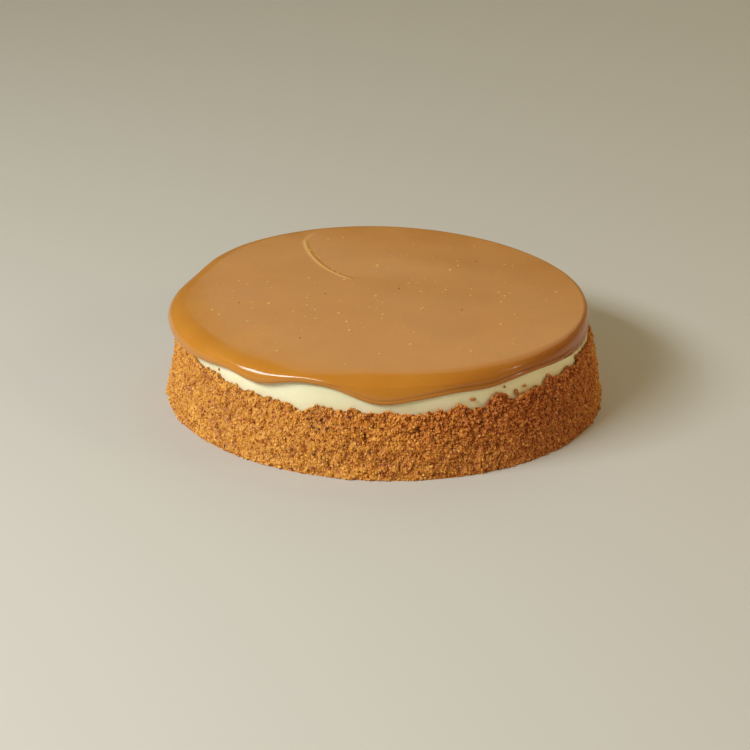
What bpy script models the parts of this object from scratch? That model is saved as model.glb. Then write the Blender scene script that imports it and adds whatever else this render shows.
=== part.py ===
# Whole cheesecake: a pressed crumb crust, a baked cream filling and a poured caramel topping.
# Lengths are in metres, with the origin at the centre of the underside, +Z up and the front at -Y.
# An azimuth is the angle round the cake from the front, positive towards the right-hand side (+X).

import math

import bmesh
import bpy
from mathutils import Vector, noise

# Clearance between touching pieces
GAP = 0.0003

# Crumb crust: a flat base and a wall that leans in towards its ragged top edge
FOOT_RADIUS = 0.1088
WALL_LEAN = 0.195
BASE_THICKNESS = 0.008
EDGE_HEIGHT = 0.0304
EDGE_BACK_RISE = 0.0030
EDGE_RAGGEDNESS = 0.0016
EDGE_THICKNESS = 0.0010
EDGE_CLEARANCE = 0.0012
CRUMB_SIZE = 0.0034
CRUMB_RELIEF = 0.0011
CLUMP_SIZE = 0.014
CLUMP_RELIEF = 0.0007
CRUST_COLUMNS = 240
CRUST_ROWS = 12

# Uneven outline of the wall: azimuth in degrees, outward bulge, half width in degrees
WALL_BULGES = ((-98, -0.0009, 26),)

# Where the crumb edge stands higher or lower: azimuth in degrees, rise, half width in degrees
EDGE_PEAKS = (
    (-68, 0.0034, 5.0),
    (-54, 0.0022, 4.0),
    (-45, 0.0016, 3.0),
    (-36.5, 0.0014, 1.8),
    (-26, 0.0012, 1.8),
    (-21.5, -0.0016, 1.8),
    (-16.5, 0.0026, 1.8),
    (-8, 0.0016, 1.8),
    (2, 0.0018, 1.6),
    (14, 0.0016, 1.8),
    (20, 0.0036, 1.8),
    (31.5, 0.0054, 2.0),
    (43, 0.0026, 2.2),
    (50, 0.0046, 2.0),
    (58, 0.0032, 3.0),
    (74, 0.0044, 8.0),
    (-101, 0.0022, 5.0),
    (-128, -0.0018, 7.0),
    (-163, 0.0024, 4.0),
    (139, 0.0020, 5.0),
)

# Cream filling: a tapered disc with a rounded upper shoulder
CREAM_FOOT_RADIUS = 0.1020
CREAM_LEAN = 0.055
CREAM_TOP = 0.0438
SHOULDER_RADIUS = 0.0048
SHOULDER_STEPS = 4
CREAM_COLUMNS = 96

# Caramel topping: a flat cap whose rim rolls over the shoulder, spread further to the left
CARAMEL_TOP = 0.0486
CARAMEL_CROWN = 0.0004
RIM_RADIUS = 0.1029
RIM_SHIFT_RIGHT = -0.0029
RIM_SHIFT_FRONT = -0.0015
RIM_WIDTH = 0.0064
RIM_WIDTH_LEFT = 0.0030
RIM_ROUNDNESS = 2.4
RIM_ROUNDNESS_BACK = 0.3
LIP_HEIGHT = 0.0421
BEAD_HEIGHT = 0.0022
CARAMEL_COLUMNS = 120
RIM_STEPS = 6
BEAD_STEPS = 3

# Lobes where the caramel has run down the side: azimuth in degrees, drop, half width in degrees
LIP_LOBES = (
    (-98, 0.0036, 12),
    (-65, 0.0064, 15),
    (-34.5, 0.0044, 6.0),
    (-0.5, 0.0074, 7.0),
    (12, 0.0027, 5.5),
    (27, 0.0034, 8.5),
    (72, 0.0041, 17.5),
    (121, 0.0034, 9.0),
    (168, 0.0040, 13),
    (-146, 0.0048, 16),
)

# How far a lobe swells outwards for each metre it hangs down
LOBE_SWELL = 0.14

# Uneven outline of the cap: azimuth in degrees, outward bulge, half width in degrees
RIM_BULGES = (
    (-84, 0.0008, 10),
    (-109, -0.0040, 11),
    (-152, 0.0005, 18),
    (180, 0.0018, 30),
)

# Where the rim slopes down more gently: azimuth in degrees, added width, half width in degrees
RIM_WIDENINGS = (
    (-38, 0.0048, 26),
    (18, 0.0030, 28),
)


def swelling(azimuth, places):
    # Sum of smooth bumps placed round the cake
    total = 0.0
    for centre, size, half_width in places:
        away = (math.degrees(azimuth) - centre + 180) % 360 - 180
        total += size * math.exp(-0.5 * (away / half_width) ** 2)
    return total


def on_circle(radius, azimuth, height):
    return Vector((radius * math.sin(azimuth), -radius * math.cos(azimuth), height))


def cream_radius(height):
    return CREAM_FOOT_RADIUS - CREAM_LEAN * height


def cream_shoulder(offset, steps, lowest=0.0):
    # Rounded corner of the filling, pushed out by offset, from a height near its foot to the flat top
    foot = CREAM_TOP - SHOULDER_RADIUS
    reach = SHOULDER_RADIUS + offset
    start = math.asin(min(max(lowest - foot, 0.0) / reach, 1.0))
    centre = cream_radius(foot) - SHOULDER_RADIUS
    points = []
    for step in range(steps + 1):
        turn = start + (math.pi / 2 - start) * step / steps
        points.append((centre + reach * math.cos(turn), foot + reach * math.sin(turn)))
    return points


def cream_skin(height, offset):
    # Radius of the filling at a height, with its rounded corner, pushed out by offset
    foot = CREAM_TOP - SHOULDER_RADIUS
    if height <= foot:
        return cream_radius(height) + offset
    return cream_shoulder(offset, 1, height)[0][0]


def lip_height(azimuth):
    return LIP_HEIGHT - swelling(azimuth, LIP_LOBES)


def rim_radius(azimuth):
    shift = RIM_SHIFT_RIGHT * math.sin(azimuth) + RIM_SHIFT_FRONT * math.cos(azimuth)
    lobes = LOBE_SWELL * swelling(azimuth, LIP_LOBES)
    return RIM_RADIUS + shift + lobes + swelling(azimuth, RIM_BULGES)


def brow_radius(azimuth):
    # Where the flat top starts to roll over into the rim
    width = RIM_WIDTH - RIM_WIDTH_LEFT * math.sin(azimuth) + swelling(azimuth, RIM_WIDENINGS)
    return rim_radius(azimuth) - width


def wall_radius(azimuth, height):
    return FOOT_RADIUS - WALL_LEAN * height + swelling(azimuth, WALL_BULGES)


def edge_height(azimuth):
    # Ragged top of the crumb wall, kept clear below the caramel
    height = EDGE_HEIGHT + EDGE_BACK_RISE * (1 - math.cos(azimuth)) / 2
    height += swelling(azimuth, EDGE_PEAKS)
    place = on_circle(FOOT_RADIUS, azimuth, 0.0)
    height += EDGE_RAGGEDNESS * noise.noise(place / CRUMB_SIZE)
    height += 0.5 * EDGE_RAGGEDNESS * noise.noise(place / CLUMP_SIZE)
    return min(height, lip_height(azimuth) - EDGE_CLEARANCE)


def crust_section(azimuth):
    # Base floor, inner wall, top edge, crumbly outer wall and underside
    top = edge_height(azimuth)
    floor_radius = cream_radius(BASE_THICKNESS) + GAP
    edge_inner = cream_radius(top) + GAP
    points = [(floor_radius, BASE_THICKNESS), (edge_inner, top - EDGE_THICKNESS / 2)]
    for row in range(CRUST_ROWS):
        height = top * (1 - row / CRUST_ROWS)
        place = on_circle(FOOT_RADIUS, azimuth, height)
        relief = CRUMB_RELIEF * noise.noise(place / CRUMB_SIZE)
        relief += CLUMP_RELIEF * noise.noise(place / CLUMP_SIZE)
        thinnest = cream_radius(height) + GAP + EDGE_THICKNESS
        points.append((max(wall_radius(azimuth, height) + relief, thinnest), height))
    points.append((wall_radius(azimuth, 0.0), 0.0))
    return points


def caramel_section(azimuth):
    # Top, rolled rim, rounded lip and the underside that follows the filling
    lip = lip_height(azimuth)
    rim = rim_radius(azimuth)
    girth = lip + BEAD_HEIGHT
    brow = brow_radius(azimuth)
    power = 2 / (RIM_ROUNDNESS - RIM_ROUNDNESS_BACK * math.cos(azimuth))
    points = []
    for share in (0.3, 0.6, 0.85, 1.0):
        points.append((brow * share, CARAMEL_TOP + CARAMEL_CROWN * (1 - share)))
    for step in range(1, RIM_STEPS + 1):
        turn = math.pi / 2 * step / RIM_STEPS
        out = math.sin(turn) ** power
        up = max(math.cos(turn), 0.0) ** power
        points.append((brow + (rim - brow) * out, girth + (CARAMEL_TOP - girth) * up))
    inner = cream_skin(lip, GAP)
    for step in range(1, BEAD_STEPS + 1):
        turn = math.pi / 2 * step / BEAD_STEPS
        radius = inner + (rim - inner) * math.cos(turn)
        points.append((radius, girth - BEAD_HEIGHT * math.sin(turn)))
    # The first step of the corner is left out, because the lip ends there or just below it
    points += cream_shoulder(GAP, SHOULDER_STEPS, lip)[1:]
    points.append((0.5 * cream_radius(0.0), CREAM_TOP + GAP))
    return points


def axis_heights(section):
    return section[0][1], section[-1][1]


def loft_round(name, section, columns):
    # Closed body through one section for each azimuth, with both ends drawn in to the axis
    shape = bmesh.new()
    strips = []
    for column in range(columns):
        azimuth = 2 * math.pi * column / columns
        strips.append([shape.verts.new(on_circle(r, azimuth, z)) for r, z in section(azimuth)])
    first, last = axis_heights(section(0.0))
    start = shape.verts.new((0.0, 0.0, first))
    end = shape.verts.new((0.0, 0.0, last))
    for strip, following in zip(strips, strips[1:] + strips[:1]):
        shape.faces.new((start, strip[0], following[0]))
        for i in range(len(strip) - 1):
            shape.faces.new((strip[i], strip[i + 1], following[i + 1], following[i]))
        shape.faces.new((end, following[-1], strip[-1]))
    bmesh.ops.recalc_face_normals(shape, faces=shape.faces)
    bmesh.ops.triangulate(shape, faces=shape.faces)
    mesh = bpy.data.meshes.new(name)
    shape.to_mesh(mesh)
    shape.free()
    return bpy.data.objects.new(name, mesh)


def turned(name, profile, columns):
    # Profile of (radius, height) points, run down its outer side and turned about Z
    mesh = bpy.data.meshes.new(name)
    edges = [(i, i + 1) for i in range(len(profile) - 1)]
    mesh.from_pydata([(radius, 0.0, height) for radius, height in profile], edges, [])
    piece = bpy.data.objects.new(name, mesh)
    screw = piece.modifiers.new("Turn", "SCREW")
    screw.steps = columns
    screw.render_steps = columns
    screw.use_merge_vertices = True
    screw.merge_threshold = 0.00005
    return piece


def finish(piece, collection, colour, roughness, coat=0.0):
    material = bpy.data.materials.new(piece.name)
    material.use_nodes = True
    shader = material.node_tree.nodes["Principled BSDF"]
    shader.inputs["Base Color"].default_value = (*colour, 1.0)
    shader.inputs["Roughness"].default_value = roughness
    shader.inputs["Metallic"].default_value = 0.0
    shader.inputs["Coat Weight"].default_value = coat
    piece.data.materials.append(material)
    collection.objects.link(piece)
    return piece


def build():
    for old in list(bpy.data.objects):
        bpy.data.objects.remove(old, do_unlink=True)
    cake = bpy.data.collections.new("cheesecake")
    bpy.context.scene.collection.children.link(cake)

    crust = loft_round("crumb_crust", crust_section, CRUST_COLUMNS)
    finish(crust, cake, (0.45, 0.19, 0.05), 0.9)

    shoulder = list(reversed(cream_shoulder(0.0, SHOULDER_STEPS)))
    bottom = BASE_THICKNESS + GAP
    profile = [(0.0, CREAM_TOP)] + shoulder + [(cream_radius(bottom), bottom), (0.0, bottom)]
    cream = finish(turned("cream_filling", profile, CREAM_COLUMNS), cake, (0.83, 0.74, 0.45), 0.5)
    cream.data.shade_smooth()

    caramel = loft_round("caramel_topping", caramel_section, CARAMEL_COLUMNS)
    finish(caramel, cake, (0.46, 0.21, 0.06), 0.25, coat=0.5)
    caramel.data.shade_smooth()
    caramel.data.set_sharp_from_angle(angle=math.radians(50))


build()
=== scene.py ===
import math

import bmesh
import bpy
import numpy as np
from mathutils import Matrix, Vector, noise


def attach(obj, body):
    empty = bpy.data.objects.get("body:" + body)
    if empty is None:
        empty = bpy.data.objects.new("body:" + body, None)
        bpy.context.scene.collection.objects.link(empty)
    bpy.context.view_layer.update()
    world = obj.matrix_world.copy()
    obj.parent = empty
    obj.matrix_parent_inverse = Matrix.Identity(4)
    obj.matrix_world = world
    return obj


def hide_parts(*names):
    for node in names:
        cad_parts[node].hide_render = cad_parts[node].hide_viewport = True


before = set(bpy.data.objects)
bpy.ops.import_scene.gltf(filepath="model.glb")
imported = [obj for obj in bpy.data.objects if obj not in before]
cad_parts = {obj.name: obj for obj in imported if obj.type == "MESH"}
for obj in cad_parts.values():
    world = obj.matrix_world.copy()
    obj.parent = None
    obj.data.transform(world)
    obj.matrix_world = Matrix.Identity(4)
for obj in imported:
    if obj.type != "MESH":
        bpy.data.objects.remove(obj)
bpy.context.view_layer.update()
print("frame loaded:", sorted(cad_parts))

# Lengths are in metres. An azimuth is the angle round the cake from the front (-Y) towards its right (+X).
gap = 0.0003  # clearance between layers, as in the solids
innerRing = 0.05  # last ring of a skin's flat top or underside, before it closes on the axis
patternRadius = 0.1  # circle that a slow pattern is read on, so that it meets itself round the cake


def hexToLinear(code):
    parts = [int(code[i:i + 2], 16) / 255 for i in (1, 3, 5)]
    linear = [p / 12.92 if p <= 0.04045 else ((p + 0.055) / 1.055) ** 2.4 for p in parts]
    return (*linear, 1.0)


def addNode(tree, kind, sockets=None, **settings):
    # a node with its settings; a socket takes a value, or another node's output to link
    node = tree.nodes.new(kind)
    for name, value in settings.items():
        setattr(node, name, value)
    for key, value in (sockets or {}).items():
        if isinstance(value, bpy.types.NodeSocket):
            tree.links.new(value, node.inputs[key])
        else:
            node.inputs[key].default_value = value
    return node


def newMaterial(name):
    material = bpy.data.materials.new(name)
    material.use_nodes = True
    return material, material.node_tree, material.node_tree.nodes["Principled BSDF"]


def ringAzimuths(columns):
    return np.arange(columns) * 2 * math.pi / columns


def degreesFrom(centre, azimuth):
    # way round the cake from a place in degrees to azimuths in radians, between -180 and 180
    return (np.degrees(azimuth) - centre + 180) % 360 - 180


def swelling(azimuth, places):
    # sum of smooth bumps round the cake, each given by its centre, its size and its half width in degrees
    total = np.zeros_like(azimuth)
    for centre, size, halfWidth in places:
        total += size * np.exp(-0.5 * (degreesFrom(centre, azimuth) / halfWidth) ** 2)
    return total


def circlePoint(radius, azimuth, height):
    return Vector((radius * math.sin(azimuth), -radius * math.cos(azimuth), height))


def addPiece(name, mesh):
    piece = bpy.data.objects.new(name, mesh)
    bpy.context.scene.collection.objects.link(piece)
    return piece


def ringMesh(name, azimuths, radii, heights):
    # closed skin through rows of rings, from top to bottom, with both ends drawn in to the axis;
    # radii and heights are arrays of (ring, column)
    rings, columns = radii.shape
    x = radii * np.sin(azimuths)
    y = -radii * np.cos(azimuths)
    verts = np.stack([x, y, heights], axis=-1).reshape(-1, 3).tolist()
    ring, column = np.meshgrid(np.arange(rings - 1), np.arange(columns), indexing="ij")
    nextColumn = (column + 1) % columns
    quads = np.stack([ring * columns + column, (ring + 1) * columns + column,
                      (ring + 1) * columns + nextColumn, ring * columns + nextColumn], axis=-1)
    faces = quads.reshape(-1, 4).tolist()
    top, bottom = len(verts), len(verts) + 1
    verts += [(0.0, 0.0, float(heights[0].mean())), (0.0, 0.0, float(heights[-1].mean()))]
    last = (rings - 1) * columns
    for i in range(columns):
        j = (i + 1) % columns
        faces.append((top, i, j))
        faces.append((bottom, last + j, last + i))
    mesh = bpy.data.meshes.new(name)
    mesh.from_pydata(verts, [], faces)
    mesh.update()
    return addPiece(name, mesh)


def storeValue(piece, name, values):
    # one number for each vertex of a ring mesh, for a material or a node tree to read
    stored = piece.data.attributes.new(name, "FLOAT", "POINT")
    stored.data.foreach_set("value", np.append(np.ravel(values), [0, 0]).astype(np.float32))


def evaluatedCopy(source, name):
    # plain mesh of what the modifiers make
    bpy.context.view_layer.update()
    depsgraph = bpy.context.evaluated_depsgraph_get()
    mesh = bpy.data.meshes.new_from_object(source.evaluated_get(depsgraph), depsgraph=depsgraph)
    mesh.name = name
    return addPiece(name, mesh)


def finishPiece(piece, node=None, material=None):
    if material:
        piece.data.materials.clear()
        piece.data.materials.append(material)
    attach(piece, "root")
    if node:
        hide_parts(node)
    print(piece.name, "has", sum(len(p.vertices) - 2 for p in piece.data.polygons), "triangles")


cream = {
    "footRadius": 0.1020,
    "lean": 0.055,
    "top": 0.0438,
    "bottom": 0.0083,
    "shoulder": 0.0048,
    "topRing": 0.09,  # ring on the flat top, under the caramel
    "waviness": 0.00035,  # smears left by the knife round the tin
    "waveLength": 0.020,
    "waveSquash": 2.2,  # they run level, so they lie closer together in height
    "fineSmears": 0.5,  # strength of the finer ones among them, and how many times finer they are
    "fineTimes": 3.1,
    "meanSink": 0.6,  # share of the waviness that the side sinks by on average
    "columns": 480,
    "sideRings": 30,
    "shoulderRings": 8,
    "sharpAngle": 60,  # degrees between faces from which they meet in a sharp edge
}
shoulderFoot = cream["top"] - cream["shoulder"]


def creamRadius(height):
    return cream["footRadius"] - cream["lean"] * height


def creamShoulder(offset, turn):
    # radius and height on the rounded shoulder, grown by offset, from its foot (turn 0) up to the flat top
    centre = creamRadius(shoulderFoot) - cream["shoulder"]
    reach = cream["shoulder"] + offset
    return centre + reach * np.cos(turn), shoulderFoot + reach * np.sin(turn)


def creamSkin(height, offset):
    # radius of the filling's outside, grown by offset
    rise = np.clip((height - shoulderFoot) / (cream["shoulder"] + offset), 0, 1)
    onShoulder = creamShoulder(offset, np.arcsin(rise))[0]
    return np.where(height <= shoulderFoot, creamRadius(height) + offset, onShoulder)


def creamWave(azimuth, height):
    # slow unevenness that only sinks into the side, so it never meets the caramel or the crumbs
    place = circlePoint(patternRadius, azimuth, height * cream["waveSquash"]) / cream["waveLength"]
    total = noise.noise(place) + cream["fineSmears"] * noise.noise(place * cream["fineTimes"])
    return -cream["waviness"] * (cream["meanSink"] + (1 - cream["meanSink"]) * total)


def makeCream(material):
    columns, sideRings = cream["columns"], cream["sideRings"]
    azimuths = ringAzimuths(columns)
    rings = [(innerRing, cream["top"]), (cream["topRing"], cream["top"])]
    for step in range(cream["shoulderRings"] + 1):
        r, z = creamShoulder(0.0, math.pi / 2 * (1 - step / cream["shoulderRings"]))
        rings.append((float(r), float(z)))
    for step in range(1, sideRings + 1):
        z = shoulderFoot + (cream["bottom"] - shoulderFoot) * step / sideRings
        rings.append((creamRadius(z), z))
    rings.append((innerRing, cream["bottom"]))
    radii = np.array([[r] * columns for r, z in rings])
    heights = np.array([[z] * columns for r, z in rings])
    for i, (r, z) in enumerate(rings):
        if r > cream["topRing"] and cream["bottom"] < z < cream["top"]:
            radii[i] += [creamWave(a, z) for a in azimuths]
    piece = ringMesh("creamFilling", azimuths, radii, heights)
    piece.data.shade_smooth()
    piece.data.set_sharp_from_angle(angle=math.radians(cream["sharpAngle"]))
    finishPiece(piece, "cream_filling", material)


caramel = {
    "top": 0.0486,
    "crown": 0.0004,
    "rimRadius": 0.1029,
    "shiftRight": -0.0029,  # the rim reaches a little further to the left and to the back
    "shiftFront": -0.0015,
    "rimWidth": 0.0064,
    "rimWidthLeft": 0.0030,
    "roundness": 2.4,  # power of the rim's rounded bend, and what it gains at the back
    "roundnessBack": 0.3,
    "lipHeight": 0.0421,
    "beadHeight": 0.0022,
    "lobeSwell": 0.14,  # how far a lobe stands out, as a share of how far it runs down
    "lobes": ((-98, 0.0036, 12), (-65, 0.0064, 15), (-34.5, 0.0044, 6.0), (-0.5, 0.0074, 7.0),
              (12, 0.0027, 5.5), (27, 0.0034, 8.5), (72, 0.0041, 17.5), (121, 0.0034, 9.0),
              (168, 0.0040, 13), (-146, 0.0048, 16)),
    "bulges": ((-84, 0.0008, 10), (-109, -0.0040, 11), (-152, 0.0005, 18), (180, 0.0018, 30)),
    "widenings": ((-38, 0.0048, 26), (18, 0.0030, 28)),
    "columns": 560,
    "topRings": 100,
    "rimRings": 42,
    "beadRings": 10,
    "underRings": 6,
    "rimBend": (0.010, 0.008),  # rough width and height of the rim's bend, which space its rings
    "sag": 0.0003,  # how far the top sinks towards its edge, over what length, and where it sinks further
    "sagReach": 0.026,
    "sagParts": ((-60, 0.0010, 30), (5, 0.0003, 24)),
    "sagRunOut": 3,  # how soon the sinking dies out on the rim
    "lift": 0.0010,  # the top stands a little higher at the back left
    "liftAzimuth": -148,
    "liftReach": 0.1,
    "swell": 0.00018,  # slow unevenness of the poured top
    "swellLength": 0.038,
    "groove": 0.00075,  # crease over the rolled lip, and where round the cake it shows most
    "grooveAbove": 0.0022,
    "grooveWidth": 0.00060,
    "grooveParts": ((38, 1.0, 26), (-14, 0.35, 8), (-55, 0.3, 14), (150, 0.8, 30), (-130, 0.6, 30)),
    "skinRidge": 0.00020,  # fine ridge where the skin of the top ends
    "skinRidgeHeight": 0.0437,
    "skinRidgeWidth": 0.0005,
    "skinRidgeParts": ((4, 1.0, 18), (178, 0.8, 25)),
    "rimWave": 0.00030,
    "rimWaveLength": 0.011,
    "rimWaveSquash": 2,
    "reliefFadeIn": 0.5,  # radians of the rim's bend over which its relief comes in
    "brownParts": ((62, 1.0, 26), (165, 0.5, 30)),  # where a painted shade darkens the thick rim, on its right and at the back
    "rimShadeFadeIn": 0.6,  # share of the rim's rings over which the painted shade comes in
}

pourMark = {  # the thin ridge that the spatula left, and the shallow scoop beside it
    "bend": ((-0.0430, 0.0760), (-0.0415, 0.0590), (-0.0330, 0.0330), (-0.0180, 0.0228)),
    "hook": ((-0.0430, 0.0760), (-0.0428, 0.0815), (-0.0400, 0.0880), (-0.0350, 0.0945)),
    "trail": ((-0.0180, 0.0228), (-0.0120, 0.0206), (0.0000, 0.0195), (0.0120, 0.0120)),
    "lineSteps": 140,  # points along each of these bends
    "ridge": 0.00034,
    "ridgeWidth": 0.0007,
    "ridgeStart": 1.3,  # strength of the ridge at its start, full from 1 up, and what it loses over a bend
    "ridgeLoss": 0.6,
    "ridgeEnd": 1.06,  # where it ends, in bends from its start, and over what length it fades there
    "ridgeEndLength": 0.10,
    "hookRidge": 0.00030,  # the ridge's far end, towards the back edge, is lower, its painted highlight weaker, and it tapers off
    "hookHighlight": 0.8,
    "hookTaper": 0.8,
    "dip": 0.00030,  # the scoop is deepest beside the ridge and rises away from it
    "dipWidth": 0.012,
    "dipEdge": 0.0024,
    "trailSoftness": 14,  # how much wider the scoop's edge gets towards the end of the trail
    "rise": 0.00080,
    "riseWidth": 0.030,
    "scoopCentre": (-0.020, 0.060),
    "scoopReach": 0.050,
}


def lipHeight(azimuth):
    return caramel["lipHeight"] - swelling(azimuth, caramel["lobes"])


def rimRadius(azimuth):
    shift = caramel["shiftRight"] * np.sin(azimuth) + caramel["shiftFront"] * np.cos(azimuth)
    lobes = caramel["lobeSwell"] * swelling(azimuth, caramel["lobes"])
    return caramel["rimRadius"] + shift + lobes + swelling(azimuth, caramel["bulges"])


def browRadius(azimuth):
    # where the flat top starts to roll over into the rim
    width = caramel["rimWidth"] - caramel["rimWidthLeft"] * np.sin(azimuth)
    return rimRadius(azimuth) - width - swelling(azimuth, caramel["widenings"])


def bezier(points, t):
    a, b, c, d = [np.array(p) for p in points]
    t = t[:, None]
    return a * (1 - t) ** 3 + 3 * b * t * (1 - t) ** 2 + 3 * c * t ** 2 * (1 - t) + d * t ** 3


def lineRelief(x, y, *bends):
    # distance to a line of bends that run on, how far along it (1 for each bend), and how far to its left
    steps = np.linspace(0, 1, pourMark["lineSteps"])
    t = np.concatenate([steps + i for i in range(len(bends))])
    line = np.concatenate([bezier(bend, steps) for bend in bends])
    distance = np.hypot(x[..., None] - line[:, 0], y[..., None] - line[:, 1])
    nearest = distance.argmin(axis=-1)
    ahead = np.gradient(line, axis=0)
    ahead = (ahead / np.maximum(np.hypot(ahead[:, :1], ahead[:, 1:]), 1e-9))[nearest]
    fromLine = np.stack([x, y], axis=-1) - line[nearest]
    side = ahead[..., 0] * fromLine[..., 1] - ahead[..., 1] * fromLine[..., 0]
    return distance.min(axis=-1), t[nearest], side


def pourRelief(x, y):
    # height of the pour mark over the flat top, and the strength of the painted highlight along its ridge
    away, along, side = lineRelief(x, y, pourMark["bend"], pourMark["trail"])
    line = np.exp(-(away / pourMark["ridgeWidth"]) ** 2)
    line = line * np.clip(pourMark["ridgeStart"] - pourMark["ridgeLoss"] * along, 0, 1)
    line = line * np.clip((pourMark["ridgeEnd"] - along) / pourMark["ridgeEndLength"], 0, 1)
    scoop = pourMark["rise"] * (1 - np.exp(-away / pourMark["riseWidth"]))
    scoop = scoop - pourMark["dip"] * np.exp(-away / pourMark["dipWidth"])
    centreX, centreY = pourMark["scoopCentre"]
    fade = np.exp(-((x - centreX) ** 2 + (y - centreY) ** 2) / pourMark["scoopReach"] ** 2)
    edge = pourMark["dipEdge"] * (1 + pourMark["trailSoftness"] * np.clip(along - 1, 0, 1))
    scoop = scoop * np.clip(side / edge, 0, 1) * fade
    hookAway, hookAlong = lineRelief(x, y, pourMark["hook"])[:2]
    hook = np.exp(-(hookAway / pourMark["ridgeWidth"]) ** 2) * (1 - hookAlong) ** pourMark["hookTaper"]
    relief = pourMark["ridge"] * line + pourMark["hookRidge"] * hook + scoop
    return relief, np.maximum(line, pourMark["hookHighlight"] * hook)


def edgeSag(azimuth):
    return caramel["sag"] + swelling(azimuth, caramel["sagParts"])


def capHeight(x, y):
    # height of the poured top, and the painted highlight along the ridge on it
    azimuths = np.arctan2(x, -y)
    radius, brow = np.hypot(x, y), browRadius(azimuths)
    share = radius / brow
    relief, pale = pourRelief(x, y)
    relief = relief - edgeSag(azimuths) * np.clip(1 - (brow - radius) / caramel["sagReach"], 0, 1) ** 2
    highest = circlePoint(1.0, math.radians(caramel["liftAzimuth"]), 0.0)
    uphill = np.maximum((x * highest.x + y * highest.y) / caramel["liftReach"], 0)
    relief = relief + caramel["lift"] * uphill ** 2
    slow = np.array([noise.noise(Vector((px, py, 0.0)) / caramel["swellLength"])
                     for px, py in zip(np.ravel(x), np.ravel(y))]).reshape(np.shape(x))
    flat = caramel["top"] + caramel["crown"] * (1 - share)
    return flat + relief + caramel["swell"] * slow, pale


def rimTurns():
    # steps of the rolled rim that are evenly spaced along its bend
    turn = np.linspace(0, math.pi / 2, 4000)  # fine enough to measure the bend by
    power = 2 / caramel["roundness"]
    width, height = caramel["rimBend"]
    out = np.sin(turn) ** power * width
    down = (1 - np.clip(np.cos(turn), 0, 1) ** power) * height
    length = np.append(0, np.cumsum(np.hypot(np.diff(out), np.diff(down))))
    return np.interp(np.linspace(0, length[-1], caramel["rimRings"] + 1)[1:], length, turn)


def rimRelief(azimuths, height, lip):
    # outward relief of the rim at one ring: the crease over the lip, the end of the skin, slow waves
    crease = swelling(azimuths, caramel["grooveParts"]) * np.exp(
        -((height - lip - caramel["grooveAbove"]) / caramel["grooveWidth"]) ** 2)
    skin = swelling(azimuths, caramel["skinRidgeParts"]) * np.exp(
        -((height - caramel["skinRidgeHeight"]) / caramel["skinRidgeWidth"]) ** 2)
    squashed = caramel["rimWaveSquash"] * height
    wave = np.array([noise.noise(circlePoint(patternRadius, a, h) / caramel["rimWaveLength"])
                     for a, h in zip(azimuths, squashed)])
    return caramel["skinRidge"] * skin - caramel["groove"] * crease + caramel["rimWave"] * wave


def caramelRings(azimuths):
    lip = lipHeight(azimuths)
    rim = rimRadius(azimuths)
    girth = lip + caramel["beadHeight"]
    brow = browRadius(azimuths)
    # pale holds the strength of the painted highlight along the spatula's ridge
    radii, heights, pale = [], [], []
    for i in range(caramel["topRings"]):
        r = brow * (i + 1) / caramel["topRings"]
        z, line = capHeight(r * np.sin(azimuths), -r * np.cos(azimuths))
        radii.append(r)
        heights.append(z)
        pale.append(line)
    power = 2 / (caramel["roundness"] - caramel["roundnessBack"] * np.cos(azimuths))
    edgeLift = heights[-1] - caramel["top"]
    slope = -2 * edgeSag(azimuths) / caramel["sagReach"] * (rim - brow)  # the sinking runs on into the rim
    for turn in rimTurns():
        out = math.sin(turn) ** power
        up = max(math.cos(turn), 0.0) ** power
        z = girth + (caramel["top"] - girth) * up
        fadeIn = min(turn / caramel["reliefFadeIn"], 1.0)
        radii.append(brow + (rim - brow) * out + rimRelief(azimuths, z, lip) * fadeIn * out)
        runOn = slope * out * np.exp(-caramel["sagRunOut"] * out)
        heights.append(z + (edgeLift + runOn) * (1 - out ** 4))
    inner = creamSkin(lip, gap)
    for i in range(1, caramel["beadRings"] + 1):
        turn = math.pi / 2 * i / caramel["beadRings"]
        z = girth - caramel["beadHeight"] * math.sin(turn)
        radii.append(inner + (rim + rimRelief(azimuths, z, lip) - inner) * math.cos(turn))
        heights.append(z)
    start = np.arcsin(np.clip((lip - shoulderFoot) / (cream["shoulder"] + gap), 0, 1))
    for i in range(1, caramel["underRings"] + 1):
        r, z = creamShoulder(gap, start + (math.pi / 2 - start) * i / caramel["underRings"])
        radii.append(r)
        heights.append(z)
    radii.append(np.full_like(lip, innerRing))
    heights.append(np.full_like(lip, cream["top"] + gap))
    pale += [np.zeros_like(lip)] * (len(radii) - len(pale))
    return np.array(radii), np.array(heights), np.array(pale)


def makeCaramel(material):
    azimuths = ringAzimuths(caramel["columns"])
    radii, heights, pale = caramelRings(azimuths)
    piece = ringMesh("caramelTopping", azimuths, radii, heights)
    # painted highlight along the spatula's ridge
    storeValue(piece, "paleLine", pale)
    # painted shade that darkens the rim on its right and at the back
    fadeRings = caramel["rimShadeFadeIn"] * caramel["rimRings"]
    onRim = np.clip((np.arange(len(radii)) - caramel["topRings"]) / fadeRings, 0, 1)
    storeValue(piece, "browned", onRim[:, None] * swelling(azimuths, caramel["brownParts"]))
    piece.data.shade_smooth()
    finishPiece(piece, "caramel_topping", material)


specks = {  # air bubbles that set in the skin of the caramel, and a few burnt flecks
    "bubbles": 190,
    "bubbleSizes": (0.0006, 0.0021),  # widths
    "rise": 0.18,  # height as a share of the width
    "domeRings": ((1.0, -0.15), (0.8, 0.45), (0.4, 0.9)),  # share of the half width, and of the height
    "domeColumns": 8,
    "flecks": ((-0.0397, -0.0567), (-0.0713, -0.0132), (0.0373, -0.0164), (-0.0298, 0.0014),
               (0.0067, 0.0104), (0.0460, 0.0520)),
    "fleckSize": 0.0012,
    "reach": 0.090,
    "seed": 12,
}


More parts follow.
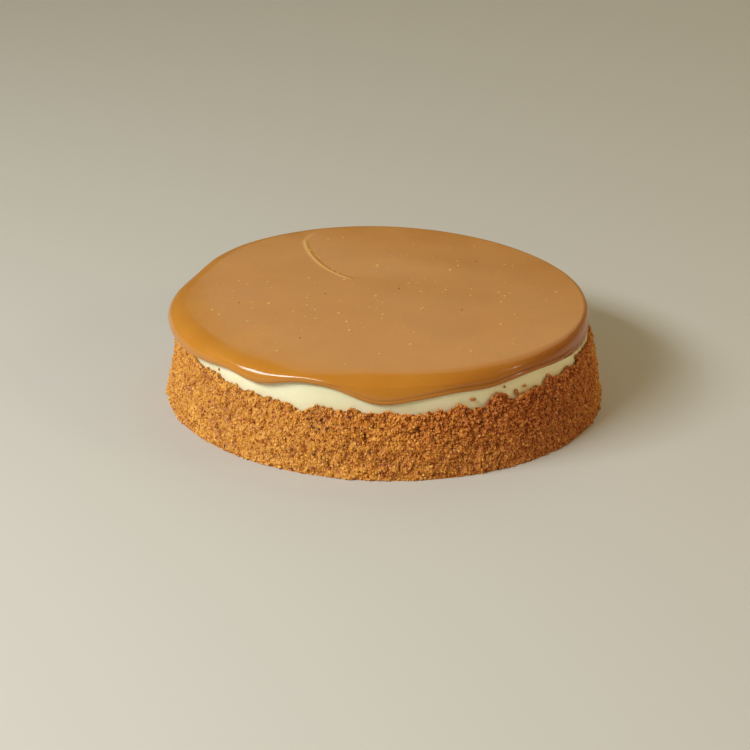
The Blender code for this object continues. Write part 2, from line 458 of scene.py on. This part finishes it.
def lowDome(bm, x, y, z, width):
    # a blister whose foot is sunk a little into the skin
    columns = specks["domeColumns"]
    rings = []
    for share, up in specks["domeRings"]:
        rings.append([bm.verts.new((x + width / 2 * share * math.cos(2 * math.pi * i / columns),
                                    y + width / 2 * share * math.sin(2 * math.pi * i / columns),
                                    z + width * specks["rise"] * up)) for i in range(columns)])
    for lower, upper in zip(rings, rings[1:]):
        for i in range(columns):
            j = (i + 1) % columns
            bm.faces.new((lower[i], lower[j], upper[j], upper[i]))
    bm.faces.new(rings[-1])
    bm.faces.new(rings[0][::-1])


def makeSpecks(bubbleMaterial, fleckMaterial):
    draw = np.random.default_rng(specks["seed"])
    radius = specks["reach"] * np.sqrt(draw.random(specks["bubbles"]))
    angle = draw.random(specks["bubbles"]) * 2 * math.pi
    small, large = specks["bubbleSizes"]
    sizes = small + (large - small) * draw.random(specks["bubbles"]) ** 2
    flecks = np.array(specks["flecks"])
    fleckSizes = np.full(len(flecks), specks["fleckSize"])
    kinds = (("airBubbles", radius * np.sin(angle), -radius * np.cos(angle), sizes, bubbleMaterial),
             ("burntFlecks", flecks[:, 0], flecks[:, 1], fleckSizes, fleckMaterial))
    for name, x, y, widths, material in kinds:
        bm = bmesh.new()
        for px, py, pz, width in zip(x, y, capHeight(x, y)[0], widths):
            lowDome(bm, px, py, pz, width)
        mesh = bpy.data.meshes.new(name)
        bm.to_mesh(mesh)
        bm.free()
        mesh.shade_smooth()
        finishPiece(addPiece(name, mesh), None, material)


crust = {
    "footRadius": 0.1088,
    "lean": 0.195,
    "baseThickness": 0.008,
    "edgeHeight": 0.0304,
    "backRise": 0.0030,
    "raggedness": 0.0016,
    "raggedClumps": 0.0008,
    "edgeThickness": 0.0010,
    "edgeClearance": 0.0012,
    "crumbSize": 0.0034,
    "crumbRelief": 0.0011,
    "clumpSize": 0.014,
    "clumpRelief": 0.0007,
    "bulges": ((-98, -0.0009, 26),),
    "peaks": ((-68, 0.0024, 5.0), (-54, 0.0022, 4.0), (-45, 0.0016, 3.0), (-36.5, 0.0014, 1.8),
              (-26, 0.0012, 1.8), (-21.5, -0.0016, 1.8), (-16.5, 0.0026, 1.8), (-8, 0.0016, 1.8),
              (2, 0.0018, 1.6), (14, 0.0016, 1.8), (20, 0.0036, 1.8), (31.5, 0.0054, 2.0),
              (43, 0.0026, 2.2), (50, 0.0046, 2.0), (58, 0.0032, 3.0), (74, 0.0044, 8.0),
              (-101, 0.0022, 5.0), (-128, -0.0018, 7.0), (-163, 0.0024, 4.0), (139, 0.0020, 5.0)),
    "columns": 1400,
    "rows": 64,
    "edgeSunk": 0.0005,  # the loose crumbs stand this much above the core's edge
    "chamfer": 0.0006,  # how far the top edge falls towards the filling, and the foot is drawn in
    "fineRaggedness": 0.0010,
    "fineRaggedSize": 0.0019,
    "grain": 0.0014,  # crumb size pressed into the wall
    "grainRelief": 0.0005,
    "grainMiddle": 0.4,  # how far from a crumb's centre its surface is level, in crumb sizes
    "grainLift": 0.0006,  # how much some crumbs stand out over others
    "grainPick": 7.31,  # any factor that gives neighbouring crumbs unlike heights
    "pressedRough": 0.3,  # share of this relief where the wall is pressed smooth
    "crease": 0.0010,  # depth of the gaps between crumbs
    "creaseWidth": 0.30,
    "pinholes": 0.0030,  # small holes all over the pressed wall: depth, size, and how rare they are
    "pinholeSize": 0.0013,
    "pinholeLevel": 0.30,
    "pits": ((-4.3, 0.0198, 0.0010, 0.0026, 0.0026), (-49.5, 0.0142, 0.0007, 0.0020, 0.0018),
             (-36.2, 0.0220, 0.0009, 0.0009, 0.0018), (-42.9, 0.0155, 0.0008, 0.0009, 0.0016),
             (-18.9, 0.0178, 0.0012, 0.0009, 0.0018), (8.6, 0.0235, 0.0014, 0.0016, 0.0024),
             (112, 0.0210, 0.0010, 0.0020, 0.0022), (-119, 0.0180, 0.0012, 0.0012, 0.0020),
             (161, 0.0240, 0.0014, 0.0012, 0.0022)),  # azimuth, height, half width, half height, depth
    "hollowDepth": 0.0014,  # depth from which the painted shade in a gap is darkest
    "leastLoose": 0.12,  # how loose the crumbs lie, from 0, pressed smooth, to 1
    "looseParts": ((34, 0.92, 34), (150, 0.6, 26), (-142, 0.7, 32)),
    "looseAtFoot": 0.25,  # share of that looseness at the foot, and the power by which it grows upwards
    "loosePower": 1.3,
    "crumbsAtLeast": 0.24,  # share of the wall's loose crumbs that lies where it is pressed smooth
    "crumbsAtEdge": 0.5,  # what the top edge gets beyond that, and over what height
    "crumbsAtEdgeHeight": 0.0025,
    "crumbsAtFoot": 0.2,
    "crumbsStop": 0.1,  # below this share no crumbs lie, as on the hidden sides
    "shadeAtFoot": 0.5,
    "sideShadeParts": ((52, 1.0, 26), (170, 0.4, 25)),  # where a painted shade darkens the wall, on its shaded right and at the back
    "toastedAll": 0.012,  # share of the darkest crumbs all over the wall, and where they gather
    "toastedParts": ((-17, 0.0245, 2.2, 0.0028), (-15, 0.0215, 1.2, 0.0016), (63, 0.0180, 2.0, 0.0022),
                     (128, 0.0220, 2.5, 0.0030), (-96, 0.0150, 2.0, 0.0020), (-158, 0.0250, 2.0, 0.0026)),
}


def edgeHeight(azimuth, peak, lip):
    height = crust["edgeHeight"] + crust["backRise"] * (1 - math.cos(azimuth)) / 2 + peak
    place = circlePoint(crust["footRadius"], azimuth, 0.0)
    height += crust["raggedness"] * noise.noise(place / crust["crumbSize"])
    height += crust["raggedClumps"] * noise.noise(place / crust["clumpSize"])
    height = min(height, lip - crust["edgeClearance"])
    return height - crust["edgeSunk"] + crust["fineRaggedness"] * noise.noise(place / crust["fineRaggedSize"])


def crumbRelief(place, loose):
    # the solids' relief, with the single crumbs and the gaps between them that are too fine for it
    total = crust["crumbRelief"] * noise.noise(place / crust["crumbSize"])
    total += crust["clumpRelief"] * noise.noise(place / crust["clumpSize"])
    distances, centres = noise.voronoi(place / crust["grain"])
    rough = crust["pressedRough"] + (1 - crust["pressedRough"]) * loose
    lift = noise.cell(centres[0] * crust["grainPick"]) - 0.5
    gapDepth = max(1 - (distances[1] - distances[0]) / crust["creaseWidth"], 0.0)
    total += (crust["grainRelief"] * rough * (crust["grainMiddle"] - distances[0])
              + crust["grainLift"] * rough * lift)
    total -= crust["crease"] * loose * gapDepth
    hole = max(noise.noise(place / crust["pinholeSize"]) - crust["pinholeLevel"], 0.0)
    return total - crust["pinholes"] * hole


def pitDepth(azimuths, heights):
    total = np.zeros_like(heights)
    for azimuth, height, halfWidth, halfHeight, depth in crust["pits"]:
        across = np.radians(degreesFrom(azimuth, azimuths)) * crust["footRadius"]
        total += depth * np.exp(-(across / halfWidth) ** 2 - ((heights - height) / halfHeight) ** 2)
    return total


def toasting(azimuths, heights):
    # where the darkest crumbs gather
    total = np.full_like(heights, crust["toastedAll"])
    for azimuth, height, halfWidth, halfHeight in crust["toastedParts"]:
        away = degreesFrom(azimuth, azimuths)
        total += np.exp(-(away / halfWidth) ** 2 - ((heights - height) / halfHeight) ** 2)
    return np.clip(total, 0, 1)


def makeCrustCore(material):
    # the rings run from the inner floor up the inside, over the edge and down the outside to the foot
    columns, rows = crust["columns"], crust["rows"]
    azimuths = ringAzimuths(columns)
    peaks = swelling(azimuths, crust["peaks"])
    bulges = swelling(azimuths, crust["bulges"])
    loosest = swelling(azimuths, crust["looseParts"])
    lips = lipHeight(azimuths)
    tops = np.array([edgeHeight(a, p, l) for a, p, l in zip(azimuths, peaks, lips)])
    floorRadius = creamRadius(crust["baseThickness"]) + gap
    radii = [np.full(columns, innerRing), np.full(columns, floorRadius), creamRadius(tops) + gap]
    heights = [np.full(columns, crust["baseThickness"])] * 2 + [tops - crust["chamfer"]]
    outside = [np.zeros(columns), np.zeros(columns), np.ones(columns)]
    looseness = [np.full(columns, crust["leastLoose"])] * 3
    hollow = [np.zeros(columns)] * 3
    for row in range(rows):
        z = tops * (1 - row / rows)
        upwards = crust["looseAtFoot"] + (1 - crust["looseAtFoot"]) * (z / tops) ** crust["loosePower"]
        loose = np.clip(crust["leastLoose"] + loosest * upwards, 0, 1)
        relief = np.array([crumbRelief(circlePoint(crust["footRadius"], a, h), l)
                           for a, h, l in zip(azimuths, z, loose)]) - pitDepth(azimuths, z)
        r = crust["footRadius"] - crust["lean"] * z + bulges + relief
        radii.append(np.maximum(r, creamRadius(z) + gap + crust["edgeThickness"] / 2))
        heights.append(z)
        byEdge = np.clip(1 - (tops - z) / crust["crumbsAtEdgeHeight"], 0, 1)
        crumbs = crust["crumbsAtLeast"] + (1 - crust["crumbsAtLeast"]) * loose
        outside.append(np.clip(crumbs + crust["crumbsAtEdge"] * byEdge, 0, 1))
        looseness.append(loose)
        # painted shade in the gaps, darker the deeper the relief sinks
        hollow.append(np.clip(-relief / crust["hollowDepth"], 0, 1))
    radii += [crust["footRadius"] - crust["chamfer"] + bulges, np.full(columns, innerRing)]
    heights += [np.zeros(columns)] * 2
    outside += [np.full(columns, crust["crumbsAtFoot"]), np.zeros(columns)]
    looseness += [np.full(columns, crust["leastLoose"])] * 2
    hollow += [np.full(columns, crust["shadeAtFoot"])] * 2
    heights = np.array(heights)
    piece = ringMesh("crumbCrust", azimuths, np.array(radii), heights)
    storeValue(piece, "outside", outside)
    storeValue(piece, "everywhere", np.array(outside) > crust["crumbsStop"])
    storeValue(piece, "loose", looseness)
    storeValue(piece, "hollow", hollow)
    # painted shade on the wall's right and at the back
    storeValue(piece, "baked", np.tile(swelling(azimuths, crust["sideShadeParts"]), (len(heights), 1)))
    storeValue(piece, "toasted", np.array(outside) * toasting(np.tile(azimuths, (len(heights), 1)), heights))
    finishPiece(piece, "crumb_crust", material)
    return piece


crumbKinds = {  # one piece for each kind; sizes are diameters, "where" is the core's value that spreads them
    "sandCrumbs": {"perSquareMetre": 580000, "spacing": 0.0006, "size": 0.0008, "jag": 0.0005,
                   "facets": 4, "where": "everywhere", "seed": 2},
    "coarseSand": {"perSquareMetre": 580000, "spacing": 0.0006, "size": 0.0009, "jag": 0.0006,
                   "facets": 4, "where": "everywhere", "seed": 41},
    "fineCrumbs": {"perSquareMetre": 1000000, "spacing": 0.0007, "size": 0.0011, "jag": 0.0007,
                   "facets": 4, "where": "outside", "seed": 3},
    "goldenCrumbs": {"perSquareMetre": 240000, "spacing": 0.0012, "size": 0.0014, "jag": 0.0009,
                     "facets": 5, "where": "outside", "seed": 5},
    "paleCrumbs": {"perSquareMetre": 26000, "spacing": 0.0018, "size": 0.0011, "jag": 0.0006,
                   "facets": 5, "where": "outside", "seed": 11},
    "brownCrumbs": {"perSquareMetre": 90000, "spacing": 0.0013, "size": 0.0013, "jag": 0.0008,
                    "facets": 5, "where": "outside", "seed": 23},
    "darkCrumbs": {"perSquareMetre": 520000, "spacing": 0.0011, "size": 0.0014, "jag": 0.0007,
                   "facets": 5, "where": "toasted", "seed": 31},
}

crumbShape = {  # what all the loose crumbs share
    "leastStretch": (0.7, 0.6, 0.5),
    "mostStretch": (1.5, 1.2, 1.0),
    "leastSize": 0.7,  # factors on a kind's size
    "sizeSpread": 0.9,
    "fewLarge": 3.0,  # power by which large ones get rare
    "jagScale": 900.0,  # dents about a millimetre apart
    "lowest": 0.0,  # nothing reaches below the foot
}


def crumbTree():
    # loose crumbs on the core: uneven low balls, turned, stretched and dented, each with a tone of its own
    tree = bpy.data.node_groups.new("looseCrumbs", "GeometryNodeTree")
    face = tree.interface
    face.new_socket("Crust", in_out="INPUT", socket_type="NodeSocketGeometry")
    for label in ("Density", "Spacing", "Size", "Jag"):
        face.new_socket(label, in_out="INPUT", socket_type="NodeSocketFloat")
    face.new_socket("Where", in_out="INPUT", socket_type="NodeSocketString")
    face.new_socket("Seed", in_out="INPUT", socket_type="NodeSocketInt")
    face.new_socket("Facets", in_out="INPUT", socket_type="NodeSocketInt")
    face.new_socket("Material", in_out="INPUT", socket_type="NodeSocketMaterial")
    face.new_socket("Crumbs", in_out="OUTPUT", socket_type="NodeSocketGeometry")
    given = addNode(tree, "NodeGroupInput").outputs
    seed = given["Seed"]
    spreadBy = addNode(tree, "GeometryNodeInputNamedAttribute", {"Name": given["Where"]}, data_type="FLOAT")
    points = addNode(tree, "GeometryNodeDistributePointsOnFaces",
                     {"Mesh": given["Crust"], "Distance Min": given["Spacing"], "Seed": seed,
                      "Density Max": given["Density"], "Density Factor": spreadBy.outputs[0]},
                     distribute_method="POISSON")
    turn = addNode(tree, "FunctionNodeRandomValue",
                   {0: (0.0, 0.0, 0.0), 1: (6.28, 6.28, 6.28), "Seed": seed}, data_type="FLOAT_VECTOR")
    stretch = addNode(tree, "FunctionNodeRandomValue",
                      {0: crumbShape["leastStretch"], 1: crumbShape["mostStretch"], "Seed": seed},
                      data_type="FLOAT_VECTOR")
    spread = addNode(tree, "FunctionNodeRandomValue", {2: 0.0, 3: 1.0, "Seed": seed}, data_type="FLOAT")
    big = addNode(tree, "ShaderNodeMath", {0: spread.outputs[1], 1: crumbShape["fewLarge"]},
                  operation="POWER")
    factor = addNode(tree, "ShaderNodeMath",
                     {0: big.outputs[0], 1: crumbShape["sizeSpread"], 2: crumbShape["leastSize"]},
                     operation="MULTIPLY_ADD")
    scale = addNode(tree, "ShaderNodeVectorMath", {0: stretch.outputs[0]}, operation="SCALE")
    tree.links.new(factor.outputs[0], scale.inputs["Scale"])
    half = addNode(tree, "ShaderNodeMath", {0: given["Size"], 1: 0.5}, operation="MULTIPLY")
    rows = addNode(tree, "ShaderNodeMath", {0: given["Facets"], 1: 2.0}, operation="SUBTRACT")
    ball = addNode(tree, "GeometryNodeMeshUVSphere",
                   {"Radius": half.outputs[0], "Segments": given["Facets"], "Rings": rows.outputs[0]})
    placed = addNode(tree, "GeometryNodeInstanceOnPoints",
                     {"Points": points.outputs["Points"], "Instance": ball.outputs["Mesh"],
                      "Rotation": turn.outputs[0], "Scale": scale.outputs["Vector"]})
    toneValue = addNode(tree, "FunctionNodeRandomValue", {2: 0.0, 3: 1.0, "Seed": seed}, data_type="FLOAT")
    tone = addNode(tree, "GeometryNodeStoreNamedAttribute",
                   {"Geometry": placed.outputs[0], "Name": "tone", "Value": toneValue.outputs[1]},
                   data_type="FLOAT", domain="INSTANCE")
    solid = addNode(tree, "GeometryNodeRealizeInstances", {"Geometry": tone.outputs[0]})
    place = addNode(tree, "GeometryNodeInputPosition")
    broken = addNode(tree, "ShaderNodeTexNoise",
                     {"Vector": place.outputs[0], "Scale": crumbShape["jagScale"], "Detail": 1.0},
                     noise_dimensions="3D")
    centred = addNode(tree, "ShaderNodeVectorMath", {0: broken.outputs["Color"], 1: (0.5, 0.5, 0.5)},
                      operation="SUBTRACT")
    offset = addNode(tree, "ShaderNodeVectorMath", {0: centred.outputs[0]}, operation="SCALE")
    tree.links.new(given["Jag"], offset.inputs["Scale"])
    moved = addNode(tree, "GeometryNodeSetPosition",
                    {"Geometry": solid.outputs[0], "Offset": offset.outputs[0]})
    lifted = addNode(tree, "ShaderNodeVectorMath",
                     {0: place.outputs[0], 1: (-1.0, -1.0, crumbShape["lowest"])}, operation="MAXIMUM")
    above = addNode(tree, "GeometryNodeSetPosition",
                    {"Geometry": moved.outputs[0], "Position": lifted.outputs[0]})
    done = addNode(tree, "GeometryNodeSetMaterial",
                   {"Geometry": above.outputs[0], "Material": given["Material"]})
    addNode(tree, "NodeGroupOutput", {"Crumbs": done.outputs[0]})
    return tree


def scatterCrumbs(core, tree, name, kind, material):
    modifier = core.modifiers.new(name, "NODES")
    modifier.node_group = tree
    values = {"Density": kind["perSquareMetre"], "Spacing": kind["spacing"], "Size": kind["size"],
              "Where": kind["where"], "Jag": kind["jag"], "Seed": kind["seed"], "Facets": kind["facets"],
              "Material": material}
    for item in tree.interface.items_tree:
        if item.in_out == "INPUT" and item.name in values:
            modifier[item.identifier] = values[item.name]
    piece = evaluatedCopy(core, name)
    core.modifiers.remove(modifier)
    finishPiece(piece)


strays = {  # crumbs that stick to the filling above the crust: azimuth, height, width
    "placed": ((23.7, 0.0344, 0.0018), (24.5, 0.0342, 0.0016), (37.5, 0.0338, 0.0024), (37.9, 0.0325, 0.0020),
               (40.3, 0.0350, 0.0014), (41.0, 0.0349, 0.0012), (33.8, 0.0372, 0.0012), (65.8, 0.0356, 0.0026),
               (67.5, 0.0352, 0.0020), (70.0, 0.0350, 0.0022), (-50.5, 0.0348, 0.0010)),
    "scattered": 14,  # more of them, on the sides and the back
    "from": 90,  # azimuth where these start, and how far round they go
    "over": 210,
    "sizes": (0.0007, 0.0018),
    "aboveEdge": 0.001,  # least height above the crumb edge, and what is added to it at random
    "rise": 0.0016,
    "belowLip": 0.002,
    "lumps": (0.5, 0.32, 0.32),  # radii of a crumb's lumps, as shares of its width
    "lumpSpread": 0.4,
    "standOut": 0.45,  # how far a lump's centre lies off the filling, in its radii
    "dent": 0.45,  # depth of the dents in a lump's radii, and how far apart they are
    "dentSize": 0.0006,
    "seed": 8,
}


def makeStrayCrumbs(material):
    noise.seed_set(strays["seed"])  # noise_vector starts from the clock otherwise
    draw = np.random.default_rng(strays["seed"])
    places = list(strays["placed"])
    small, large = strays["sizes"]
    for azimuth in strays["from"] + strays["over"] * draw.random(strays["scattered"]):
        angle = np.radians(np.array([azimuth]))
        lip = lipHeight(angle)[0]
        edge = edgeHeight(angle[0], swelling(angle, crust["peaks"])[0], lip)
        height = min(edge + strays["aboveEdge"] + strays["rise"] * draw.random(), lip - strays["belowLip"])
        places.append((azimuth, height, small + (large - small) * draw.random() ** 2))
    bm = bmesh.new()
    spread = strays["lumpSpread"]
    for azimuth, height, width in places:
        for lump, share in enumerate(strays["lumps"]):
            r = width * share
            centre = circlePoint(creamRadius(height) + strays["standOut"] * r, math.radians(azimuth), height)
            if lump:
                centre += Vector(draw.uniform(-spread, spread, 3) * width)
            made = bmesh.ops.create_icosphere(bm, subdivisions=1, radius=r, matrix=Matrix.Translation(centre))
            for vert in made["verts"]:
                vert.co += noise.noise_vector(vert.co / strays["dentSize"]) * r * strays["dent"]
    mesh = bpy.data.meshes.new("strayCrumbs")
    bm.to_mesh(mesh)
    bm.free()
    finishPiece(addPiece("strayCrumbs", mesh), None, material)


def pouredCaramel(name="pouredCaramel", deep="#b87622", light="#c2802b"):
    # milk caramel, poured warm and set: a smooth glossy skin, clouded over 30 mm, with a painted highlight
    # along the ridge that the spatula drew, a painted shade on the thick rim's right and back, and a little
    # light passing through its thin rim
    material, tree, shader = newMaterial(name)
    place = addNode(tree, "ShaderNodeTexCoord").outputs["Object"]
    cloud = addNode(tree, "ShaderNodeTexNoise",
                    {"Vector": place, "Scale": 1 / 0.030, "Detail": 5.0, "Roughness": 0.6})
    colour = addNode(tree, "ShaderNodeValToRGB", {0: cloud.outputs["Fac"]})
    colour.color_ramp.elements[0].position, colour.color_ramp.elements[1].position = 0.3, 0.7
    colour.color_ramp.elements[0].color = hexToLinear(deep)
    colour.color_ramp.elements[1].color = hexToLinear(light)
    # painted highlight along the spatula's ridge
    pale = addNode(tree, "ShaderNodeAttribute", attribute_name="paleLine")
    ridgeLit = addNode(tree, "ShaderNodeMix",
                    {0: pale.outputs["Fac"], 6: colour.outputs[0], 7: hexToLinear("#e2b25e")},
                    data_type="RGBA")
    # painted shade: the rim is darker on its right and at the back
    rim = addNode(tree, "ShaderNodeAttribute", attribute_name="browned")
    rimShaded = addNode(tree, "ShaderNodeMix",
                     {0: rim.outputs["Fac"], 6: ridgeLit.outputs[2], 7: hexToLinear("#d6c1c6")},
                     data_type="RGBA", blend_type="MULTIPLY")
    tree.links.new(rimShaded.outputs[2], shader.inputs["Base Color"])
    skin = addNode(tree, "ShaderNodeTexNoise", {"Vector": place, "Scale": 1 / 0.0022, "Detail": 4.0})
    bump = addNode(tree, "ShaderNodeBump",
                   {"Height": skin.outputs["Fac"], "Strength": 0.10, "Distance": 0.0004})
    tree.links.new(bump.outputs[0], shader.inputs["Normal"])
    dull = addNode(tree, "ShaderNodeMapRange",
                   {"Value": cloud.outputs["Fac"], 1: 0.3, 2: 0.7, 3: 0.16, 4: 0.22})
    tree.links.new(dull.outputs[0], shader.inputs["Roughness"])
    shader.inputs["IOR"].default_value = 1.5
    shader.inputs["Subsurface Weight"].default_value = 0.25
    shader.inputs["Subsurface Radius"].default_value = (1.0, 0.45, 0.15)
    shader.inputs["Subsurface Scale"].default_value = 0.002
    return material


def bakedCream():
    # baked cream cheese set against a tin: dense, satin, faintly translucent, with slightly paler clouds
    # 17 mm wide and a grain of about a millimetre
    material, tree, shader = newMaterial("bakedCream")
    place = addNode(tree, "ShaderNodeTexCoord").outputs["Object"]
    cloud = addNode(tree, "ShaderNodeTexNoise", {"Vector": place, "Scale": 60.0, "Detail": 4.0})
    colour = addNode(tree, "ShaderNodeValToRGB", {0: cloud.outputs["Fac"]})
    colour.color_ramp.elements[0].position, colour.color_ramp.elements[1].position = 0.3, 0.7
    colour.color_ramp.elements[0].color = hexToLinear("#e5deb4")
    colour.color_ramp.elements[1].color = hexToLinear("#ede6c4")
    tree.links.new(colour.outputs[0], shader.inputs["Base Color"])
    fine = addNode(tree, "ShaderNodeTexNoise", {"Vector": place, "Scale": 900.0, "Detail": 3.0})
    bump = addNode(tree, "ShaderNodeBump",
                   {"Height": fine.outputs["Fac"], "Strength": 0.25, "Distance": 0.0003})
    tree.links.new(bump.outputs[0], shader.inputs["Normal"])
    shader.inputs["Roughness"].default_value = 0.42
    shader.inputs["IOR"].default_value = 1.45
    shader.inputs["Subsurface Weight"].default_value = 0.3
    shader.inputs["Subsurface Radius"].default_value = (1.0, 0.8, 0.4)
    shader.inputs["Subsurface Scale"].default_value = 0.003
    return material


def toastedCrumb(name, dark, middle, pale, gapShade=None):
    # crushed plain biscuit pressed with butter: dry grains, a redder brown where they lie loose that is
    # partly painted shade, and painted shade on the wall's right, at the back and in the gaps
    material, tree, shader = newMaterial(name)
    place = addNode(tree, "ShaderNodeTexCoord").outputs["Object"]
    cells = addNode(tree, "ShaderNodeTexVoronoi", {"Vector": place, "Scale": 1 / 0.0015})
    split = addNode(tree, "ShaderNodeSeparateColor", {0: cells.outputs["Color"]})
    tone = split.outputs[0]
    if not gapShade:  # each loose crumb has its own tone
        tone = addNode(tree, "ShaderNodeAttribute", attribute_name="tone").outputs["Fac"]
    colour = addNode(tree, "ShaderNodeValToRGB", {0: tone})
    ramp = colour.color_ramp
    ramp.elements[0].color = hexToLinear(dark)
    ramp.elements[1].color = hexToLinear(pale)
    ramp.elements.new(0.5).color = hexToLinear(middle)
    factors = []
    # a redder brown where the crumbs lie loose, partly painted shade, and painted shade on the wall's right
    # and at the back
    for value, least, most in (("loose", "#f7f5f4", "#ffdecc"), ("baked", "#ffffff", "#e3d4fa")):
        amount = addNode(tree, "ShaderNodeAttribute", attribute_name=value).outputs["Fac"]
        shade = addNode(tree, "ShaderNodeMix", {0: amount, 6: hexToLinear(least), 7: hexToLinear(most)},
                        data_type="RGBA")
        factors.append(shade.outputs[2])
    # patches 11 mm wide that baked darker, and dark spots under 2 mm apart that are painted shade of pinholes
    for size, low, high, shaded in ((0.011, 0.35, 0.65, "#f3ebe0"), (0.0016, 0.34, 0.42, "#c28668")):
        patches = addNode(tree, "ShaderNodeTexNoise", {"Vector": place, "Scale": 1 / size, "Detail": 1.0})
        tinted = addNode(tree, "ShaderNodeValToRGB", {0: patches.outputs["Fac"]})
        tinted.color_ramp.elements[0].position, tinted.color_ramp.elements[1].position = low, high
        tinted.color_ramp.elements[0].color = hexToLinear(shaded)
        tinted.color_ramp.elements[1].color = hexToLinear("#ffffff")
        factors.append(tinted.outputs[0])
    tint = colour.outputs[0]
    for factor in factors:
        tint = addNode(tree, "ShaderNodeMix", {0: 1.0, 6: tint, 7: factor}, data_type="RGBA",
                       blend_type="MULTIPLY").outputs[2]
    if gapShade:  # painted shade darkens the gaps between the pressed crumbs
        hollow = addNode(tree, "ShaderNodeAttribute", attribute_name="hollow")
        tint = addNode(tree, "ShaderNodeMix", {0: hollow.outputs["Fac"], 6: tint, 7: hexToLinear(gapShade)},
                       data_type="RGBA").outputs[2]
    tree.links.new(tint, shader.inputs["Base Color"])
    fine = addNode(tree, "ShaderNodeTexNoise", {"Vector": place, "Scale": 1 / 0.0005, "Detail": 2.0})
    bump = addNode(tree, "ShaderNodeBump",
                   {"Height": fine.outputs["Fac"], "Strength": 0.5, "Distance": 0.0003})
    tree.links.new(bump.outputs[0], shader.inputs["Normal"])
    shader.inputs["Roughness"].default_value = 0.5
    shader.inputs["IOR"].default_value = 1.45
    return material


makeCaramel(pouredCaramel())
makeSpecks(pouredCaramel("bubbleSkin", "#d09c4c", "#deb062"),
           pouredCaramel("burntSugar", "#7a4018", "#8a4c20"))
makeCream(bakedCream())
corePiece = makeCrustCore(toastedCrumb("pressedCrumb", "#c78027", "#de9f3a", "#eab44f", "#924b13"))
print("crust, filling and topping made")

crumbColours = {  # each kind's darkest, middle and palest tone
    "sandCrumbs": ("#d38f30", "#e4a63e", "#eeb853"),
    "coarseSand": ("#cf8b2e", "#e4a63e", "#f1bd57"),
    "fineCrumbs": ("#d38d2e", "#e4a63c", "#eeb851"),
    "goldenCrumbs": ("#d8942e", "#e9ab3e", "#f3c056"),
    "paleCrumbs": ("#deb262", "#e4bc6e", "#ebc880"),
    "brownCrumbs": ("#a05c1a", "#b67224", "#c68430"),
    "darkCrumbs": ("#42201c", "#5c3224", "#74442a"),
}
scatterTree = crumbTree()
for kindName, kind in crumbKinds.items():
    scatterCrumbs(corePiece, scatterTree, kindName, kind, toastedCrumb(kindName, *crumbColours[kindName]))
makeStrayCrumbs(toastedCrumb("strayCrumb", "#a8601b", "#b87024", "#c98430", "#8a4410"))
print("loose crumbs scattered")

studio = {
    "floor": "#cac6be",
    "floorSize": 4.0,
    "floorRoughness": 0.7,
    "world": "#eed8a2",
    "worldStrength": 0.26,
    "aim": (0.0, 0.0, 0.02),  # what the lights point at
    "lights": {  # place, width, height, power, colour, and whether the glossy skin mirrors the light
        "keyLight": ((-0.94, -0.66, 0.85), 1.0, 0.3, 22.2, "#f4fbff", True),
        "backLight": ((0.40, 1.20, 1.17), 1.8, 1.3, 4.5, "#f6f5dc", True),
        "warmFill": ((1.00, -0.30, 0.40), 0.9, 0.7, 2.5, "#ffd890", False),
        "rimGlint": ((0.91, -0.22, 0.57), 0.12, 0.12, 0.40, "#fff4e4", True),
    },
}

viewpoint = {  # 1.1 m away and 23 degrees up, as the photograph's
    "place": (0.0003, -1.0124, 0.4385),
    "ahead": (-0.00428, 0.91969, -0.39262),
    "right": (0.99978, 0.01203, 0.01730),
    "sensor": 36.0,  # millimetres, as the lens
    "lens": 105.6,
    "clip": (0.05, 20.0),
}


def makeFloor():
    bm = bmesh.new()
    bmesh.ops.create_grid(bm, x_segments=1, y_segments=1, size=studio["floorSize"])
    mesh = bpy.data.meshes.new("floor")
    bm.to_mesh(mesh)
    bm.free()
    floor = addPiece("floor", mesh)
    material, _, shader = newMaterial("paleFloor")
    shader.inputs["Base Color"].default_value = hexToLinear(studio["floor"])
    shader.inputs["Roughness"].default_value = studio["floorRoughness"]
    mesh.materials.append(material)


def addSoftLight(name, place, width, height, power, colour, mirrored):
    light = bpy.data.lights.new(name, "AREA")
    light.shape = "RECTANGLE"
    light.size, light.size_y = width, height
    light.energy = power
    light.color = hexToLinear(colour)[:3]
    lamp = bpy.data.objects.new(name, light)
    lamp.location = place
    lamp.rotation_euler = (Vector(studio["aim"]) - Vector(place)).to_track_quat("-Z", "Y").to_euler()
    lamp.visible_glossy = mirrored
    bpy.context.scene.collection.objects.link(lamp)


def makeCamera():
    ahead, right = Vector(viewpoint["ahead"]), Vector(viewpoint["right"])
    up = right.cross(ahead).normalized()
    right = ahead.cross(up).normalized()
    turn = Matrix((right, up, -ahead.normalized())).transposed()
    data = bpy.data.cameras.new("camera")
    data.sensor_width, data.lens = viewpoint["sensor"], viewpoint["lens"]
    data.clip_start, data.clip_end = viewpoint["clip"]
    camera = bpy.data.objects.new("camera", data)
    camera.matrix_world = Matrix.Translation(Vector(viewpoint["place"])) @ turn.to_4x4()
    bpy.context.scene.collection.objects.link(camera)
    bpy.context.scene.camera = camera


makeFloor()
for lightName, settings in studio["lights"].items():
    addSoftLight(lightName, *settings)
world = bpy.data.worlds.new("studio")
world.use_nodes = True
world.node_tree.nodes["Background"].inputs["Color"].default_value = hexToLinear(studio["world"])
world.node_tree.nodes["Background"].inputs["Strength"].default_value = studio["worldStrength"]
bpy.context.scene.world = world
bpy.context.scene.view_settings.view_transform = "Standard"
makeCamera()
print("floor, lights and camera set")
